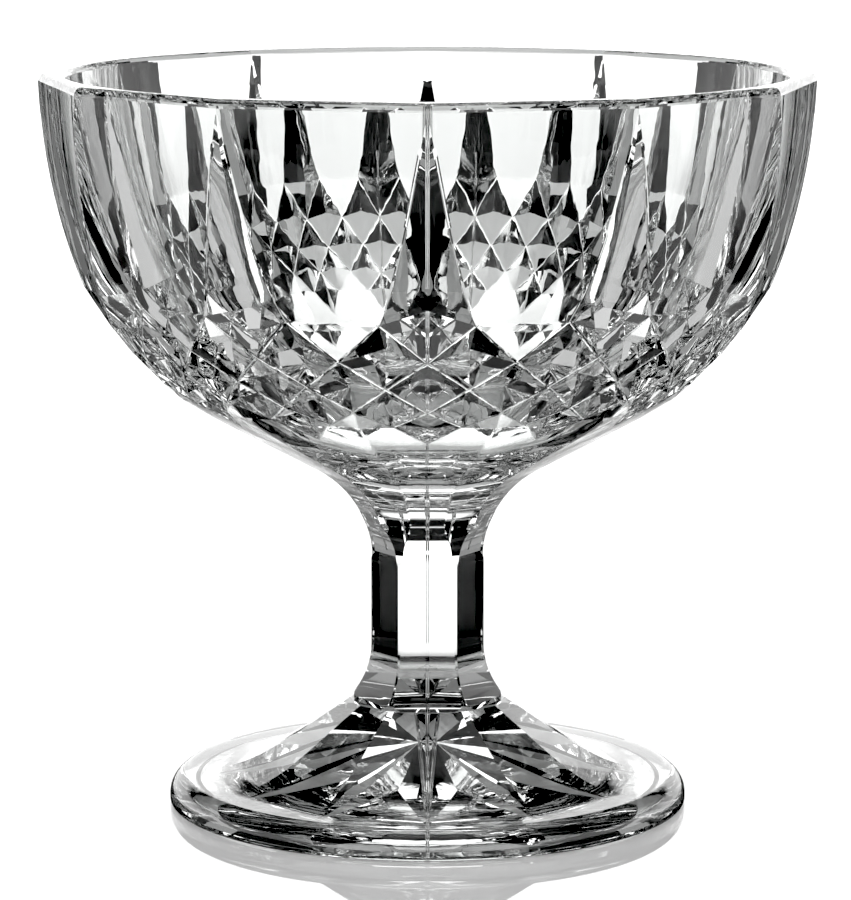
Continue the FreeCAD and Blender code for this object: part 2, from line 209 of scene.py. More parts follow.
@dataclass(frozen=True)
class StemSizes:
    """Sizes of the neck, the stem and the collar, in millimetres."""

    sides: int = 6
    neck_slope: float = 61.5
    neck_curve: float = 15.5
    neck_rows: int = 20
    radius: float = 8.25
    top: float = 35.4
    low: float = 23.0
    side_top_curve: float = 10.0
    side_top_curve_used: float = 0.999
    side_low_curve: float = 13.0
    collar_radius: float = 10.76
    collar_height: float = 14.8
    collar_rows: int = 12
    corner_cut: float = 0.22

    @property
    def half_side(self) -> float:
        """Degrees from the middle of a side of the stem to its corner."""
        return 180.0 / self.sides

    @property
    def joint(self) -> tuple[float, float]:
        """Radius and height where the neck's curve becomes its straight slope."""
        return (
            self.radius + self.neck_curve * (1 - cosd(self.neck_slope)),
            self.top + self.neck_curve * sind(self.neck_slope),
        )


@dataclass(frozen=True)
class FootSizes:
    """Sizes of the foot, in millimetres. The panels' handles are shares of their run."""

    crease: float = 11.25
    crease_height: float = 14.8
    slope: float = 33.7
    crease_handle: float = 0.59
    edge_slope: float = 5.0
    edge_handle: float = 0.35
    panel_radius: float = 32.0
    panel_rows: int = 18
    radius: float = 37.5
    thickness: float = 4.1
    upper_round: float = 2.9
    upper_steps: int = 14
    under_round: float = 0.5
    under_steps: int = 5
    ring_edge: tuple[float, float] = (0.2, 0.05)
    recess_radius: float = 33.5
    recess_depth: float = 0.5
    star_radius: float = 31.0
    star_inner: float = 14.0
    star_depth: float = 2.6


@dataclass
class PressedGlass:
    """The whole glass: bowl, neck, stem and foot in one closed mesh.

    Ridges are rounded where they turn by more than ridge_angle, outside of ridge_radius, from
    ridge_rise above the collar to ridge_drop below the tips of the spears. Edges that turn by
    crisp_angle or more stay crisp in the shading.
    """

    bowl: BowlSizes = field(default_factory=BowlSizes)
    stem: StemSizes = field(default_factory=StemSizes)
    foot: FootSizes = field(default_factory=FootSizes)
    sectors: int = 12
    round_steps: int = 144
    spear_edge_rounds: int = 6
    ridge_angle: float = 9.0
    ridge_radius: float = 10.24
    ridge_rise: float = 0.5
    ridge_drop: float = 4.0
    crisp_angle: float = 7.0
    inside_tilt: float = 30.0
    edges: dict[Edge, Soften] = field(
        default_factory=lambda: {Edge.RIDGE: Soften(0.28, 3), Edge.LIP: Soften(1.2, 6)}
    )

    @property
    def sector(self) -> float:
        """Degrees in one sector."""
        return 360.0 / self.sectors

    @property
    def half(self) -> float:
        """Degrees in half a sector."""
        return self.sector / 2

    @property
    def quarter(self) -> float:
        """Degrees in a quarter of a sector."""
        return self.sector / 4

    @property
    def neck_top(self) -> tuple[float, float]:
        """Radius and height of the neck's edges at the last row of the belt."""
        radius, height = self.stem.joint
        row = self.bowl.rows[5]
        return radius + (row - height) * math.tan(math.radians(self.stem.neck_slope)), row

    def panel_radius(self, height: float) -> float:
        """Axis to the middle of a flat panel.

        Args:
            height: Where the radius is wanted.

        Returns:
            The radius there.
        """
        top = (self.bowl.panel_top, self.bowl.lip)
        low = (self.bowl.belt_top * cosd(self.quarter), self.bowl.rows[0])
        return arc_radius_at(top, low, self.bowl.panel_bulge, height)

    def crossing(self, row: int, angle: float) -> Vector:
        """A crossing of two ridges of the diamond belt.

        Args:
            row: Row of the crossing, from 0 at the top. Rows 4 and 5 lie on the neck's flats.
            angle: Degrees from +X.

        Returns:
            The crossing.
        """
        height = self.bowl.rows[row]
        if row <= 3:
            top = (self.bowl.belt_top, self.bowl.rows[0])
            low = (self.bowl.belt_foot, self.bowl.rows[3])
            return at(arc_radius_at(top, low, self.bowl.belt_bulge, height), angle, height)
        edge = self.bowl.shoulder if row == 4 else self.neck_top[0]
        from_flat = (angle + self.half) % self.sector - self.half
        return at(edge * cosd(self.half) / cosd(from_flat), angle, height)

    def chain(
        self, mesh: bmesh.types.BMesh, points: Iterable[Vector], closed: bool = False
    ) -> list[bmesh.types.BMEdge]:
        """A run of edges through points.

        Args:
            mesh: The mesh that gets the edges.
            points: The points, in order.
            closed: Whether the last point joins the first.

        Returns:
            The edges.
        """
        verts = [mesh.verts.new(point) for point in points]
        edges = [mesh.edges.new(pair) for pair in zip(verts, verts[1:])]
        if closed:
            edges.append(mesh.edges.new((verts[-1], verts[0])))
        return edges

    def strip(
        self, mesh: bmesh.types.BMesh, loops: Sequence[list[bmesh.types.BMEdge]]
    ) -> None:
        """Joins each run of edges to the next one with a strip of faces.

        Args:
            mesh: The mesh that holds the runs.
            loops: The runs, in order.
        """
        for first, second in zip(loops, loops[1:]):
            bmesh.ops.bridge_loops(mesh, edges=first + second)

    def facet(self, mesh: bmesh.types.BMesh, points: Iterable[Vector]) -> bmesh.types.BMFace:
        """A face with these corners."""
        return mesh.faces.new([mesh.verts.new(point) for point in points])

    def spear_pair(self, share: float) -> tuple[Vector, Vector]:
        """A point of the valley of the spear on +X, and the point of its edge at that height.

        Args:
            share: How far down the spear, from 0 at its tip to 1 at its base.

        Returns:
            The valley's point and the edge's point on the side towards +Y.
        """
        bowl = self.bowl
        corner = self.crossing(0, self.quarter)
        widening = corner.y - bowl.spear_start_half
        flare = share**bowl.spear_flare_power
        spread = bowl.spear_even * share + (1 - bowl.spear_even) * flare
        half_width = bowl.spear_start_half + widening * spread
        height = bowl.spear_apex - share * bowl.spear_length
        if share >= 1:
            low = (corner.x - bowl.spear_foot_depth, 0, height + bowl.spear_foot_rise)
            return Vector(low), corner
        radius = self.panel_radius(height)
        angle = math.degrees(math.asin(half_width / radius))
        for _ in range(self.spear_edge_rounds):
            radius = self.panel_radius(height) / cosd(self.half - angle)
            angle = math.degrees(math.asin(half_width / radius))
        edge = at(radius, angle, height)
        slant = (bowl.spear_foot_depth - bowl.spear_start_depth) / widening
        depth = bowl.spear_start_depth + slant * (half_width - bowl.spear_start_half)
        depth *= min(1.0, bowl.spear_tip_depth + bowl.spear_depth_gain * share)
        past_kink = max(0.0, (share - bowl.spear_kink) / (1 - bowl.spear_kink))
        rise = bowl.spear_foot_rise * past_kink**2
        return Vector((edge.x - depth, 0, height + rise)), edge

    def add_diamonds(self, mesh: bmesh.types.BMesh) -> None:
        """The diamond pits of one sector: each is a diamond with its middle pushed in.

        Args:
            mesh: The mesh that gets them.
        """
        places = [(row, angle) for row in (1, 3) for angle in (self.quarter, 3 * self.quarter)]
        places += [(2, 0.0), (2, self.half), (4, 0.0)]
        for row, angle in places:
            above = self.crossing(row - 1, angle)
            below = self.crossing(row + 1, angle)
            right = self.crossing(row, angle + self.quarter)
            left = self.crossing(row, angle - self.quarter)
            face = self.facet(mesh, (above, left, below, right))
            inward = (right - left).cross(above - below).normalized()
            if inward.dot(at(1, angle, 0)) > 0:
                inward.negate()
            depth = self.bowl.pit_share * (above - below).length
            middle = bmesh.ops.poke(mesh, faces=[face])["verts"][0]
            middle.co = (above + below + left + right) / 4 + inward * depth

    def add_spear_and_panel(self, mesh: bmesh.types.BMesh) -> None:
        """One sector's spear on +X, and the panel beside it.

        Args:
            mesh: The mesh that gets them.
        """
        bowl = self.bowl
        shares = [index / bowl.panel_rows for index in range(bowl.panel_rows + 1)]
        pairs = [self.spear_pair(share) for share in shares]
        flip = Matrix.Scale(-1, 4, Vector((0, 1, 0)))
        turn = Matrix.Rotation(math.radians(self.sector), 4, "Z")
        valley = [low for low, edge in pairs]
        right = [edge for low, edge in pairs]
        left = [flip @ edge for edge in right]
        for side in (right, left):
            self.strip(mesh, [self.chain(mesh, valley), self.chain(mesh, side)])
        beyond = [turn @ point for point in left]
        self.strip(mesh, [self.chain(mesh, right), self.chain(mesh, beyond)])
        for side in (right, left):
            self.facet(mesh, (valley[-1], side[-1], self.crossing(1, 0.0)))
        self.facet(mesh, (right[-1], beyond[-1], self.crossing(1, self.half)))
        apex = at(self.panel_radius(bowl.spear_apex) / cosd(self.half), 0, bowl.spear_apex)
        self.facet(mesh, (apex, right[0], valley[0], left[0]))
        rim = self.panel_radius(bowl.lip) / cosd(self.half)
        lip_here = at(rim, 0, bowl.lip)
        lip_beyond = at(rim, self.sector, bowl.lip)
        self.facet(mesh, (apex, right[0], beyond[0], turn @ apex, lip_beyond, lip_here))

    def add_neck_flat(self, mesh: bmesh.types.BMesh) -> None:
        """One sector's flat of the neck, under the spear on +X, and the facets over it.

        Args:
            mesh: The mesh that gets them.
        """
        neck_radius, neck_height = self.neck_top
        joint_radius, joint_height = self.stem.joint
        for side in (-1, 1):
            shoulder = at(self.bowl.shoulder, side * self.half, self.bowl.rows[4])
            tip = self.crossing(4, side * self.quarter)
            self.facet(mesh, (tip, self.crossing(3, side * self.half), shoulder))
            low = at(neck_radius, side * self.half, neck_height)
            self.facet(mesh, (low, self.crossing(5, 0.0), tip, shoulder))
        corners = (
            at(neck_radius, -self.half, neck_height),
            self.crossing(5, 0.0),
            at(neck_radius, self.half, neck_height),
            at(joint_radius, self.half, joint_height),
            at(joint_radius, -self.half, joint_height),
        )
        self.facet(mesh, corners)

    def repeat(self, mesh: bmesh.types.BMesh) -> None:
        """Repeats what the mesh holds in every sector and joins the copies.

        Args:
            mesh: The mesh of one sector.
        """
        everything = mesh.verts[:] + mesh.edges[:] + mesh.faces[:]
        bmesh.ops.spin(
            mesh,
            geom=everything,
            cent=(0, 0, 0),
            axis=(0, 0, 1),
            dvec=(0, 0, 0),
            angle=math.radians(360 - self.sector),
            steps=self.sectors - 1,
            use_duplicate=True,
        )
        bmesh.ops.remove_doubles(mesh, verts=mesh.verts[:], dist=SECTOR_WELD)

    def stem_section(self, height: float) -> list[Vector]:
        """Corners of the neck, stem or collar at a height, all round.

        The sides of the stem face 30 degrees from +X and every 60 degrees on. Above the stem
        the neck's twelve flats take over; below it the collar is round between the sides.

        Args:
            height: Where the section is taken.

        Returns:
            Twelve points.
        """
        stem = self.stem
        turned = stem.half_side
        side = stem.radius * cosd(turned)
        if height > stem.top:
            rise = min(height - stem.top, stem.side_top_curve * stem.side_top_curve_used)
            side += stem.side_top_curve - math.sqrt(stem.side_top_curve**2 - rise**2)
        elif height < stem.low:
            fall = stem.low - height
            side += stem.side_low_curve - math.sqrt(stem.side_low_curve**2 - fall**2)
        half_width = side * math.tan(math.radians(turned)) - stem.corner_cut
        if height > stem.top:
            rise = height - stem.top
            edge = stem.radius + stem.neck_curve - math.sqrt(stem.neck_curve**2 - rise**2)
            flat = edge * cosd(self.half)
            if side >= flat:
                side = flat
                half_width = flat * math.tan(math.radians(self.half))
            else:
                meeting = (flat - side * cosd(turned)) / sind(turned)
                half_width = min(half_width, meeting)
        else:
            half_width = min(half_width, math.sqrt(stem.collar_radius**2 - side**2))
        reach = math.hypot(side, half_width)
        turn = math.degrees(math.atan2(half_width, side))
        points = []
        for index in range(stem.sides):
            middle = turned + 2 * turned * index
            points.append(at(reach, middle - turn, height))
            points.append(at(reach, middle + turn, height))
        return points

    def add_stem(self, mesh: bmesh.types.BMesh) -> None:
        """The curved part of the neck, the stem and the collar.

        Args:
            mesh: The mesh that gets them.
        """
        stem = self.stem
        joint_height = stem.joint[1]
        curve = joint_height - stem.top
        heights = [joint_height - curve * step / stem.neck_rows for step in range(stem.neck_rows)]
        heights += [stem.top, stem.low]
        fall = stem.low - stem.collar_height
        rows = stem.collar_rows
        heights += [stem.low - fall * step / rows for step in range(1, rows + 1)]
        loops = [self.chain(mesh, self.stem_section(height), closed=True) for height in heights]
        self.strip(mesh, loops)

    def add_foot_panels(self, mesh: bmesh.types.BMesh) -> None:
        """The twelve panels on top of the foot, flat across and hollow down their length.

        Args:
            mesh: The mesh that gets them.
        """
        foot = self.foot
        run = foot.panel_radius - foot.crease
        handles = (
            (foot.panel_radius, foot.thickness),
            (
                foot.panel_radius - foot.edge_handle * run * cosd(foot.edge_slope),
                foot.thickness + foot.edge_handle * run * sind(foot.edge_slope),
            ),
            (
                foot.crease + foot.crease_handle * run * cosd(foot.slope),
                foot.crease_height - foot.crease_handle * run * sind(foot.slope),
            ),
            (foot.crease, foot.crease_height),
        )
        loops = []
        for step in range(foot.panel_rows + 1):
            radius, height = bezier_point(handles, step / foot.panel_rows)
            ring = [at(radius, self.sector * index, height) for index in range(self.sectors)]
            loops.append(self.chain(mesh, ring, closed=True))
        self.strip(mesh, loops)

    def spun(self, mesh: bmesh.types.BMesh, profile: Iterable[tuple[float, float]]) -> None:
        """Turns a profile once round the axis.

        Args:
            mesh: The mesh that gets the surface.
            profile: Pairs of radius and height.
        """
        start = set(mesh.verts)
        edges = self.chain(mesh, [Vector((radius, 0, height)) for radius, height in profile])
        verts = [vert for vert in mesh.verts if vert not in start]
        bmesh.ops.spin(
            mesh,
            geom=verts + edges,
            cent=(0, 0, 0),
            axis=(0, 0, 1),
            dvec=(0, 0, 0),
            angle=math.radians(360),
            steps=self.round_steps,
            use_merge=True,
        )

    def add_foot_rim(self, mesh: bmesh.types.BMesh) -> None:
        """The round rim of the foot, the ring it stands on and the wall of the recess.

        Args:
            mesh: The mesh that gets them.
        """
        foot = self.foot
        upper = (foot.radius - foot.upper_round, foot.thickness - foot.upper_round)
        under = (foot.radius - foot.under_round, foot.under_round)
        profile = arc_points(upper, foot.upper_round, 90, 0, foot.upper_steps)
        profile += arc_points(under, foot.under_round, 0, -90, foot.under_steps)
        profile.append((foot.recess_radius + foot.ring_edge[0], 0.0))
        profile.append((foot.recess_radius, foot.ring_edge[1]))
        profile.append((foot.recess_radius - foot.recess_depth, foot.recess_depth))
        self.spun(mesh, profile)

    def add_inside(self, mesh: bmesh.types.BMesh) -> None:
        """The round inside of the bowl with the inner edge of the lip.

        Args:
            mesh: The mesh that gets it.
        """
        bowl = self.bowl
        low = bowl.lip - bowl.inner_lip_round
        depth = low - bowl.inner_floor
        across, up = bowl.inner_upper_handle
        handles = (
            (bowl.inner_radius, low),
            (across * bowl.inner_radius, bowl.inner_floor + up * depth),
            (bowl.inner_floor_handle * bowl.inner_radius, bowl.inner_floor),
            (0.0, bowl.inner_floor),
        )
        centre = (bowl.inner_radius + bowl.inner_lip_round, low)
        profile = arc_points(centre, bowl.inner_lip_round, 90, 180, bowl.inner_lip_steps)
        rows = bowl.inner_rows
        profile += [bezier_point(handles, step / rows) for step in range(1, rows + 1)]
        self.spun(mesh, profile)

    def add_star(self, mesh: bmesh.types.BMesh) -> None:
        """The star pressed into the underside: a low pyramid on a pointed outline.

        Args:
            mesh: The mesh that gets it.
        """
        foot = self.foot
        top = Vector((0, 0, foot.recess_depth + foot.star_depth))
        for index in range(self.sectors):
            angle = self.sector * index
            point = at(foot.star_radius, angle, foot.recess_depth)
            for side in (-1, 1):
                corner = at(foot.star_inner, angle + side * self.half, foot.recess_depth)
                self.facet(mesh, (top, point, corner))

    def close_level(self, mesh: bmesh.types.BMesh, height: float) -> None:
        """Fills the flat ring between the two open edges at a height.

        Args:
            mesh: The mesh with the open edges.
            height: Their height.
        """
        rim = [
            edge
            for edge in mesh.edges
            if edge.is_boundary and all(abs(vert.co.z - height) < WELD for vert in edge.verts)
        ]
        filled = bmesh.ops.triangle_fill(mesh, edges=rim, use_beauty=True, use_dissolve=False)
        LOG.info("level %.1f: %d open edges, %d filled", height, len(rim), len(filled["geom"]))

    def lip_edges(self, mesh: bmesh.types.BMesh) -> list[bmesh.types.BMEdge]:
        """The outer edges of the lip.

        Args:
            mesh: The closed mesh.

        Returns:
            The edges.
        """
        lip = self.bowl.lip
        inner_limit = self.panel_radius(lip) * (1 + WELD)
        return [
            edge
            for edge in mesh.edges
            if all(
                vert.co.z > lip - WELD and vert.co.xy.length > inner_limit for vert in edge.verts
            )
        ]

    def ridge_edges(self, mesh: bmesh.types.BMesh) -> list[bmesh.types.BMEdge]:
        """The convex ridges of the pattern and of the wide part of the neck.

        Args:
            mesh: The closed mesh.

        Returns:
            The edges.
        """
        inside = self.inside_verts(mesh)
        lowest = self.stem.collar_height + self.ridge_rise
        highest = self.bowl.spear_apex - self.ridge_drop

        def is_ridge(edge: bmesh.types.BMEdge) -> bool:
            """Whether the edge is a convex ridge within the limits."""
            middle = (edge.verts[0].co + edge.verts[1].co) / 2
            return (
                len(edge.link_faces) == 2
                and edge.is_convex
                and edge.calc_face_angle() > math.radians(self.ridge_angle)
                and lowest < middle.z < highest
                and middle.xy.length > self.ridge_radius
                and not any(vert in inside for vert in edge.verts)
            )

        return [edge for edge in mesh.edges if is_ridge(edge)]

    def inside_verts(self, mesh: bmesh.types.BMesh) -> set[bmesh.types.BMVert]:
        """The vertices of the bowl's inner wall, which faces the axis.

        Args:
            mesh: The closed mesh.

        Returns:
            The vertices.
        """
        mesh.normal_update()
        lowest = self.bowl.inner_floor - 10 * WELD
        return {
            vert
            for vert in mesh.verts
            if vert.co.z > lowest
            and vert.normal.dot(Vector((vert.co.x, vert.co.y, -self.inside_tilt))) < 0
        }

    def round_edges(
        self, mesh: bmesh.types.BMesh, edges: list[bmesh.types.BMEdge], kind: Edge
    ) -> None:
        """Rounds edges.

        Args:
            mesh: The mesh.
            edges: The edges to round.
            kind: What they are, which gives the rounding.
        """
        soften = self.edges[kind]
        bmesh.ops.bevel(
            mesh,
            geom=edges,
            offset=soften.width,
            segments=soften.segments,
            profile=0.5,
            affect="EDGES",
            clamp_overlap=False,
            loop_slide=True,
            material=-1,
        )

    def weld(self, mesh: bmesh.types.BMesh) -> None:
        """Merges vertices that lie on each other."""
        bmesh.ops.remove_doubles(mesh, verts=mesh.verts[:], dist=WELD)

    def shade(self, mesh: bmesh.types.BMesh) -> None:
        """Shades curved surfaces smooth and keeps the edges of the flat faces crisp.

        Args:
            mesh: The finished mesh.
        """
        for face in mesh.faces:
            face.smooth = True
        for edge in mesh.edges:
            edge.smooth = edge.calc_face_angle(0.0) < math.radians(self.crisp_angle)

    def build(self, material: bpy.types.Material) -> bpy.types.Object:
        """Builds the glass.

        Args:
            material: Its clear glass.

        Returns:
            The object, in the scene.
        """
        mesh = bmesh.new()
        self.add_diamonds(mesh)
        self.add_spear_and_panel(mesh)
        self.add_neck_flat(mesh)
        self.repeat(mesh)
        self.add_stem(mesh)
        self.add_foot_panels(mesh)
        self.add_foot_rim(mesh)
        self.add_inside(mesh)
        self.add_star(mesh)
        self.weld(mesh)
        foot = self.foot
        for height in (self.bowl.lip, foot.crease_height, foot.thickness, foot.recess_depth):
            self.close_level(mesh, height)
        bmesh.ops.recalc_face_normals(mesh, faces=mesh.faces[:])
        self.round_edges(mesh, self.lip_edges(mesh), Edge.LIP)
        self.round_edges(mesh, self.ridge_edges(mesh), Edge.RIDGE)
        self.weld(mesh)
        bmesh.ops.recalc_face_normals(mesh, faces=mesh.faces[:])
        open_edges = sum(1 for edge in mesh.edges if not edge.is_manifold)
        volume = mesh.calc_volume(signed=True)
        LOG.info(
            "glass: %d faces, %d open edges, volume %.0f", len(mesh.faces), open_edges, volume
        )
        bmesh.ops.scale(mesh, vec=(MM, MM, MM), verts=mesh.verts[:])
        self.shade(mesh)
        data = bpy.data.meshes.new("pressed_glass")
        mesh.to_mesh(data)
        mesh.free()
        data.materials.append(material)
        piece = bpy.data.objects.new("pressed_glass", data)
        bpy.context.scene.collection.objects.link(piece)
        return piece


@dataclass(frozen=True)
class ClearGlass:
    """Clear pressed glass with the faint waviness and the seam that the mould leaves.

    Heights and widths are in metres.
    """

    name: str = "clear_glass"
    colour: tuple[float, float, float, float] = (0.975, 0.985, 0.98, 1.0)
    index: float = 1.52
    roughness: float = 0.0
    wave_scale: float = 55.0
    wave_detail: float = 2.0
    wave_strength: float = 0.06
    wave_height: float = 0.001
    ripple_scale: float = 190.0
    ripple_detail: float = 3.0
    ripple_strength: float = 0.15
    ripple_height: float = 0.0002
    ripple_stretch: float = 0.35
    seam_half_width: float = 0.00028
    seam_height: float = 0.00014

    def build(self) -> bpy.types.Material:
        """Builds the material.

        Returns:
            The material.
        """
        material = bpy.data.materials.new(self.name)
        material.use_nodes = True
        nodes = material.node_tree.nodes
        links = material.node_tree.links
        shader = nodes["Principled BSDF"]
        shader.inputs["Base Color"].default_value = self.colour
        shader.inputs["Roughness"].default_value = self.roughness
        shader.inputs["IOR"].default_value = self.index
        shader.inputs["Transmission Weight"].default_value = 1.0
        place = nodes.new("ShaderNodeTexCoord")
        stretch = nodes.new("ShaderNodeMapping")
        stretch.inputs["Scale"].default_value = (1.0, 1.0, self.ripple_stretch)
        links.new(place.outputs["Object"], stretch.inputs["Vector"])
        waves = self.noise(
            material, place.outputs["Object"], self.wave_scale, self.wave_detail
        )
        ripples = self.noise(
            material, stretch.outputs["Vector"], self.ripple_scale, self.ripple_detail
        )
        broad = self.bump(material, waves, self.wave_strength, self.wave_height)
        fine = self.bump(material, ripples, self.ripple_strength, self.ripple_height)
        seam = self.bump(material, self.seam_line(material, place), 1.0, self.seam_height)
        links.new(broad.outputs["Normal"], fine.inputs["Normal"])
        links.new(fine.outputs["Normal"], seam.inputs["Normal"])
        links.new(seam.outputs["Normal"], shader.inputs["Normal"])
        return material

    def noise(
        self,
        material: bpy.types.Material,
        vector: bpy.types.NodeSocket,
        scale: float,
        detail: float,
    ) -> bpy.types.NodeSocket:
        """Adds a noise.

        Args:
            material: The material that gets it.
            vector: The output that places it.
            scale: How fine it is.
            detail: How many finer layers it has.

        Returns:
            The noise's output.
        """
        noise = material.node_tree.nodes.new("ShaderNodeTexNoise")
        noise.inputs["Scale"].default_value = scale
        noise.inputs["Detail"].default_value = detail
        material.node_tree.links.new(vector, noise.inputs["Vector"])
        return noise.outputs["Fac"]

    def bump(
        self,
        material: bpy.types.Material,
        height: bpy.types.NodeSocket,
        strength: float,
        distance: float,
    ) -> bpy.types.Node:
        """Adds a bump.

        Args:
            material: The material that gets it.
            height: The output that gives its height.
            strength: How strong it is.
            distance: Height of its full value, in metres.

        Returns:
            The bump node.
        """
        bump = material.node_tree.nodes.new("ShaderNodeBump")
        bump.inputs["Strength"].default_value = strength
        bump.inputs["Distance"].default_value = distance
        material.node_tree.links.new(height, bump.inputs["Height"])
        return bump

    def seam_line(
        self, material: bpy.types.Material, place: bpy.types.Node
    ) -> bpy.types.NodeSocket:
        """The mould's seam: a fine line down the front and back of the outside.

        Args:
            material: The material that gets it.
            place: Its texture coordinates.

        Returns:
            The output that is 1 on the seam and 0 beside it.
        """
        nodes = material.node_tree.nodes
        links = material.node_tree.links
        parts = nodes.new("ShaderNodeSeparateXYZ")
        links.new(place.outputs["Object"], parts.inputs["Vector"])
        aside = nodes.new("ShaderNodeMath")
        aside.operation = "ABSOLUTE"
        links.new(parts.outputs["X"], aside.inputs[0])
        line = nodes.new("ShaderNodeMapRange")
        line.interpolation_type = "SMOOTHSTEP"
        line.inputs["From Max"].default_value = self.seam_half_width
        line.inputs["To Min"].default_value = 1.0
        line.inputs["To Max"].default_value = 0.0
        links.new(aside.outputs["Value"], line.inputs["Value"])
        facing = nodes.new("ShaderNodeVectorMath")
        facing.operation = "DOT_PRODUCT"
        links.new(place.outputs["Normal"], facing.inputs[0])
        links.new(place.outputs["Object"], facing.inputs[1])
        outside = nodes.new("ShaderNodeMath")
        outside.operation = "GREATER_THAN"
        outside.inputs[1].default_value = 0.0
        links.new(facing.outputs["Value"], outside.inputs[0])
        on_outside = nodes.new("ShaderNodeMath")
        on_outside.operation = "MULTIPLY"
        links.new(line.outputs["Result"], on_outside.inputs[0])
        links.new(outside.outputs["Value"], on_outside.inputs[1])
        return on_outside.outputs["Value"]


@dataclass(frozen=True)
class Flag:
    """A set of dark cards round the glass, as a photographer sets beside a glass lit from behind.

    The camera doesn't see them. They show only through the glass, and in gloss where
    seen_in_gloss says so; such cards lie flat and show from above only. Lengths are in metres.
    Each row of a card is its distance from the axis, its height, and half its width in degrees.
    """

    name: str
    middles: tuple[float, ...]
    rows: tuple[tuple[float, float, float], ...]
    level: float
    seen_in_gloss: bool = True
    steps: int = 8

    def mesh(self) -> bpy.types.Mesh:
        """Makes the cards, with flat ones facing up.

        Returns:
            Their mesh.
        """
        mesh = bmesh.new()
        for middle in self.middles:
            runs = []
            for radius, height, half_width in self.rows:
                turns = [2 * step / self.steps - 1 for step in range(self.steps + 1)]
                points = [at(radius, middle + half_width * turn, height) for turn in turns]
                verts = [mesh.verts.new(point) for point in points]
                runs.append([mesh.edges.new(pair) for pair in zip(verts, verts[1:])])
            for first, second in zip(runs, runs[1:]):
                bmesh.ops.bridge_loops(mesh, edges=first + second)
        mesh.normal_update()
        face_down = [face for face in mesh.faces if face.normal.z < -0.5]
        bmesh.ops.reverse_faces(mesh, faces=face_down)
        data = bpy.data.meshes.new(self.name)
        mesh.to_mesh(data)
        mesh.free()
        return data

    def material(self) -> bpy.types.Material:
        """Makes their finish: one even level, with a clear back on cards seen in gloss.

        Returns:
            The material.
        """
        material = bpy.data.materials.new(self.name)
        material.use_nodes = True
        nodes = material.node_tree.nodes
        links = material.node_tree.links
        shader = nodes["Principled BSDF"]
        shader.inputs["Base Color"].default_value = (0.0, 0.0, 0.0, 1.0)
        shader.inputs["Specular IOR Level"].default_value = 0.0
        shader.inputs["Emission Color"].default_value = (1.0, 1.0, 1.0, 1.0)
        shader.inputs["Emission Strength"].default_value = self.level
        if self.seen_in_gloss:
            side = nodes.new("ShaderNodeNewGeometry")
            clear = nodes.new("ShaderNodeBsdfTransparent")
            mix = nodes.new("ShaderNodeMixShader")
            links.new(side.outputs["Backfacing"], mix.inputs["Fac"])
            links.new(shader.outputs["BSDF"], mix.inputs[1])
            links.new(clear.outputs["BSDF"], mix.inputs[2])
            links.new(mix.outputs["Shader"], nodes["Material Output"].inputs["Surface"])
        return material

    def build(self) -> None:
        """Builds the cards as one piece of the stage."""
        data = self.mesh()
        data.materials.append(self.material())
        cards = bpy.data.objects.new(self.name, data)
        cards.visible_camera = False
        cards.visible_diffuse = False
        cards.visible_glossy = self.seen_in_gloss
        cards.visible_shadow = False
        bpy.context.scene.collection.objects.link(cards)


STAGE_FLAGS = (
    Flag(
        "stem_flags",
        DIAGONALS,
        ((0.1, 0.0004, 24.0), (0.1, 0.033, 24.0)),
        0.005,
        seen_in_gloss=False,
    ),
    Flag(
        "side_flags",
        (30.0, 150.0, 210.0, 330.0),
        ((0.09, 0.0003, 14.0), (0.30, 0.0003, 14.0)),
        0.005,
    ),
    Flag(
        "foot_ring_flags",
        QUARTERS,
        ((0.0365, 0.0002, 45.0), (0.058, 0.0002, 45.0)),
        0.02,
    ),
    Flag(
        "stem_floor_flags",
        DIAGONALS,
        ((0.055, 0.0006, 15.0), (0.07, 0.0006, 18.0), (0.1, 0.0006, 24.0)),
        0.04,
        seen_in_gloss=False,
    ),
    Flag(
        "floor_flags",
        BETWEEN_VIEWS,
        (
            (0.20, 0.0004, 0.5),
            (0.26, 0.0004, 3.0),
            (0.36, 0.0004, 6.5),
            (0.64, 0.0004, 10.5),
            (1.6, 0.0004, 11.5),
        ),
        0.005,
    ),
    Flag(
        "far_flags",
        BETWEEN_VIEWS,
        ((1.6, 0.0004, 11.5), (1.6, 1.0, 11.5)),
        0.005,
        seen_in_gloss=False,
    ),
    Flag(
        "corner_flags",
        DIAGONALS,
        ((0.17, 0.0008, 20.0), (0.36, 0.0008, 14.0), (1.5, 0.0008, 11.0)),
        0.35,
    ),
    Flag(
        "far_corner_flags",
        DIAGONALS,
        ((1.5, 0.0008, 11.0), (1.5, 1.0, 11.0)),
        0.35,
        seen_in_gloss=False,
    ),
)


